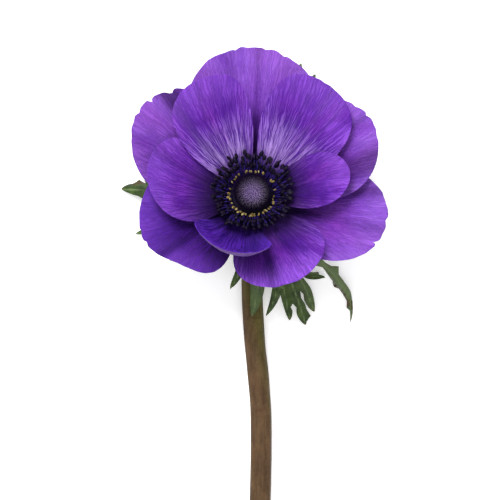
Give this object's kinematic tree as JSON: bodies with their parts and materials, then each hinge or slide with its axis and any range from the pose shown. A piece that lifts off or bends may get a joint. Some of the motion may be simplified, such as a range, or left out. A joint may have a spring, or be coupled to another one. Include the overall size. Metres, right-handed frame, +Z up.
{
  "type": "cut anemone flower",
  "caption": "Cut anemone flower laid down, with a violet open bloom facing up, dark stamens around a dome, lobed leaves and a bare stem.",
  "frame": {"origin": "centre of the footprint, on the surface that the flower lies on", "axes": "+Z up, which the bloom faces; +Y along the lying stem from its cut end towards the bloom; +X to the right seen from above with +Y away"},
  "size_m": [0.091, 0.2233, 0.0514],
  "materials": {
    "petal": "soft violet with a satin sheen",
    "stem": "matt brown shading to green",
    "leaf": "matt green",
    "carpels": "dark violet fuzz",
    "stamens": "blue-black, dusty"
  },
  "bodies": {
    "root": {"stem": "stem", "leaf_left": "leaf", "leaf_front": "leaf", "leaf_back": "leaf", "outer_petal_top": "petal", "outer_petal_lower_left": "petal", "outer_petal_lower_right": "petal", "outer_petal_upper_left": "petal", "outer_petal_upper_right": "petal", "inner_petal_upper_right": "petal", "inner_petal_lower_right": "petal", "inner_petal_left": "petal", "inner_petal_upper_left": "petal", "inner_petal_right": "petal", "inner_petal_lower_left": "petal", "carpel_dome": "carpels", "stamens_inner": "stamens", "stamens_middle": "stamens", "stamens_outer": "stamens"}
  },
  "joints": []
}
